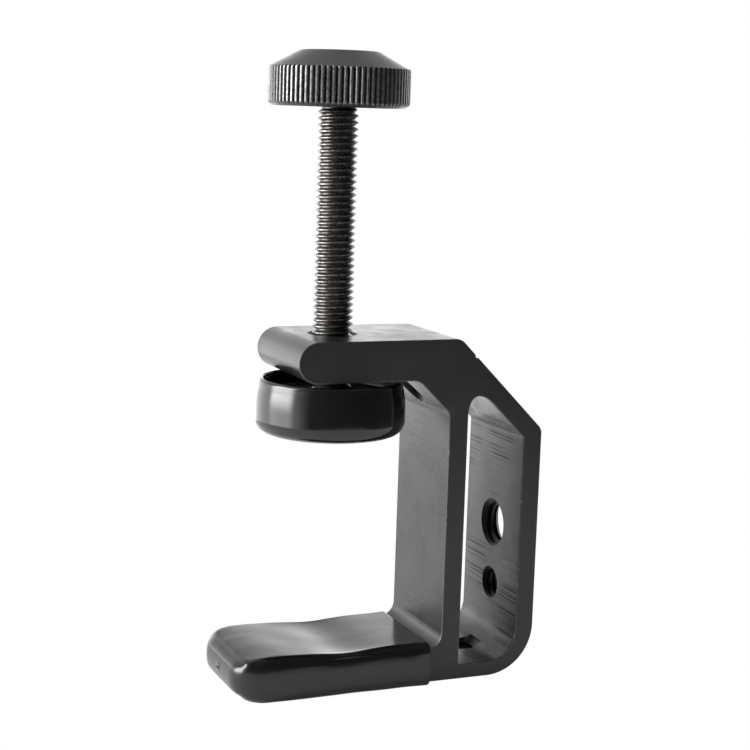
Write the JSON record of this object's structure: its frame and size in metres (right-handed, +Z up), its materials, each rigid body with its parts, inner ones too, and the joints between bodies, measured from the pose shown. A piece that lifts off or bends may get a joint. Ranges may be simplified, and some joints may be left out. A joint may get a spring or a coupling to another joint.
{
  "type": "desk clamp",
  "caption": "Screw-operated C-shaped desk clamp: extruded frame with hollow back, dip-coated jaw and swivel pad, knurled knob.",
  "frame": {"origin": "centre of the lower jaw's grip face, on the clamping screw's axis", "axes": "+Z up along the clamping screw, from the lower jaw to the knob; -X out of the mouth of the C; Y along the extrusion"},
  "size_m": [0.0635, 0.0298, 0.1241],
  "materials": {
    "anodised_frame": "black anodised, satin extrusion",
    "vinyl_coat": "glossy black dip coat",
    "oxide_steel": "black oxide steel",
    "knob_aluminium": "black anodised, turned and knurled"
  },
  "bodies": {
    "frame": {"frame": "anodised_frame", "jaw_sleeve": "vinyl_coat"},
    "swivel": {"retaining_washer": "oxide_steel"},
    "screw": {"clamp_screw": "oxide_steel", "knob": "knob_aluminium"},
    "pad": {"pad_disc": "anodised_frame", "pad_sleeve": "vinyl_coat"}
  },
  "joints": [
    {"name": "screw_travel", "type": "slide", "parent": "frame", "child": "swivel", "axis": [0, 0, 1], "range_m": [-0.041, 0]},
    {"name": "screw_turn", "type": "hinge", "parent": "swivel", "child": "screw", "pos_m": [0, 0, 0.06], "axis": [0, 0, 1], "range_deg": [-11810, 0]},
    {"name": "pad_swivel", "type": "hinge", "parent": "swivel", "child": "pad", "pos_m": [0, 0, 0.0414], "axis": [0, 0, 1], "continuous": true}
  ],
  "couplings": [
    {"joint": "screw_turn", "follows": "screw_travel", "rad_per_m": 5026.5}
  ]
}
